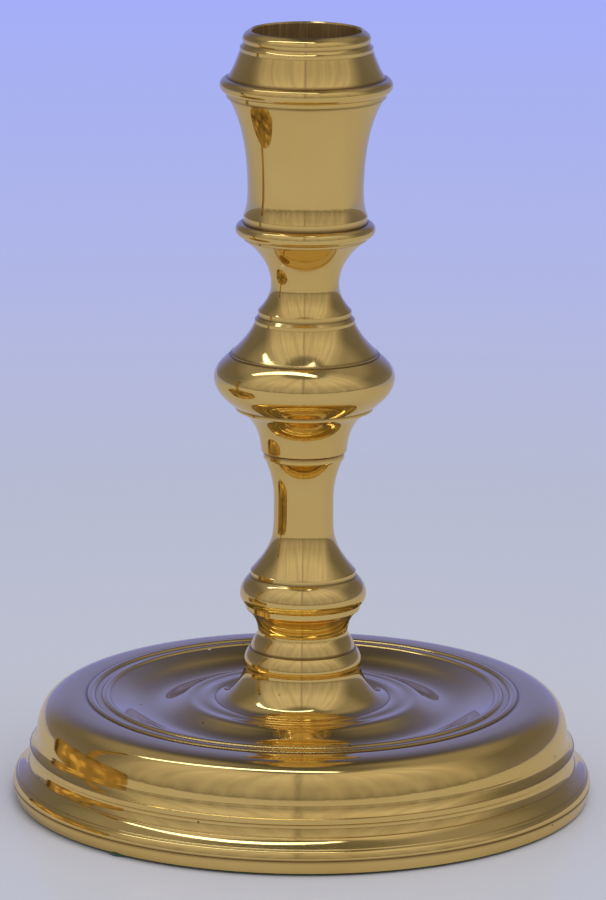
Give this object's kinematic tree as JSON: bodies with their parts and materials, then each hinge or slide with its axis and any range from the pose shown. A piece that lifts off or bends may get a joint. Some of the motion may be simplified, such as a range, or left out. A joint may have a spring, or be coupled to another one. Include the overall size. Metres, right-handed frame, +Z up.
{
  "type": "candle holder",
  "caption": "Polished turned brass candlestick for one taper candle, stacked on a steel tie rod over a wide stepped foot with a shallow drip dish and a felt underside.",
  "frame": {"origin": "centre of the underside of the felt, on the table", "axes": "+Z up along the turned axis, out of the candle bore; the picture looks along +Y with +X to the right"},
  "size_m": [0.1208, 0.1208, 0.1613],
  "materials": {
    "brass": "hand-polished, with fine lathe lines",
    "steel": "bright zinc",
    "card": "grey-brown board",
    "felt": "dark green wool felt"
  },
  "bodies": {
    "root": {"candle_socket": "brass", "neck_and_knop": "brass", "column": "brass", "spool": "brass", "base_casting": "brass", "tie_rod": "steel", "flat_washer": "steel", "spring_washer": "steel", "clamp_nut": "steel", "backing_card": "card", "felt_pad": "felt"}
  },
  "joints": []
}
